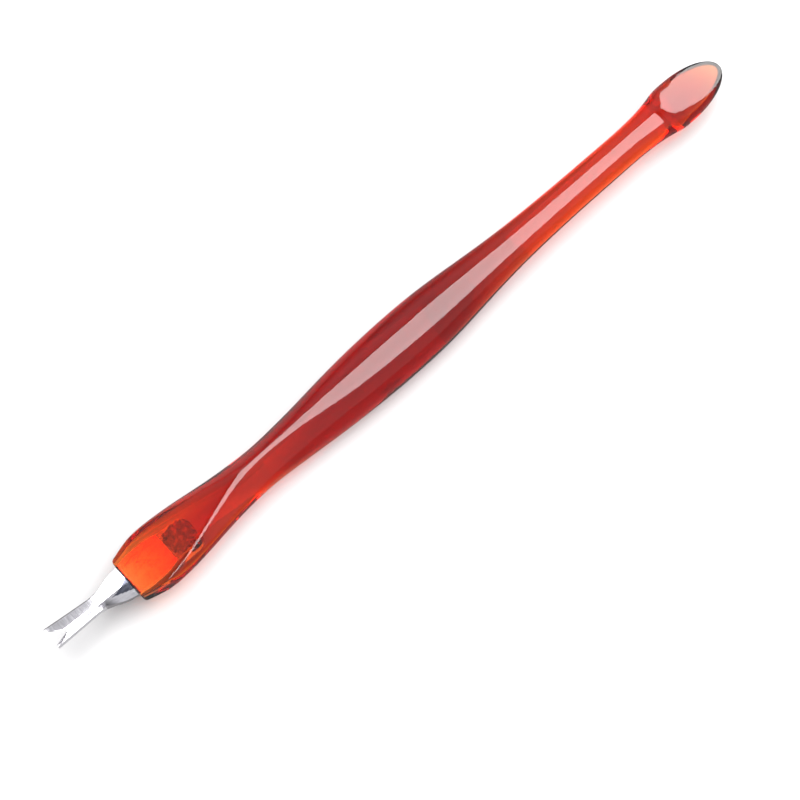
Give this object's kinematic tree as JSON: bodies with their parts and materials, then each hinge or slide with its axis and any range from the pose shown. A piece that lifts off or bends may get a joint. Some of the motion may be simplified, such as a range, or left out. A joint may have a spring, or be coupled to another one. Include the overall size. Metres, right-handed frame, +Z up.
{
  "type": "cuticle pusher",
  "caption": "Slim one-piece translucent handle with a slanted oval pusher face at one end and a forked, trough-shaped steel cuticle trimmer blade at the other.",
  "frame": {"origin": "on the surface the tool lies on, under the middle of its overall length and width", "axes": "+X along the handle from the blade to the pusher, +Z up, out of the pusher face's side; the oval pusher face looks up"},
  "size_m": [0.1199, 0.0096, 0.0085],
  "materials": {
    "amber_plastic": "clear amber-red moulded plastic, polished",
    "polished_steel": "polished stainless sheet with finely ground edges",
    "brown_resin": "set adhesive, dark and bubbly"
  },
  "bodies": {
    "root": {"handle": "amber_plastic", "blade": "polished_steel", "tang_cement": "brown_resin"}
  },
  "joints": []
}
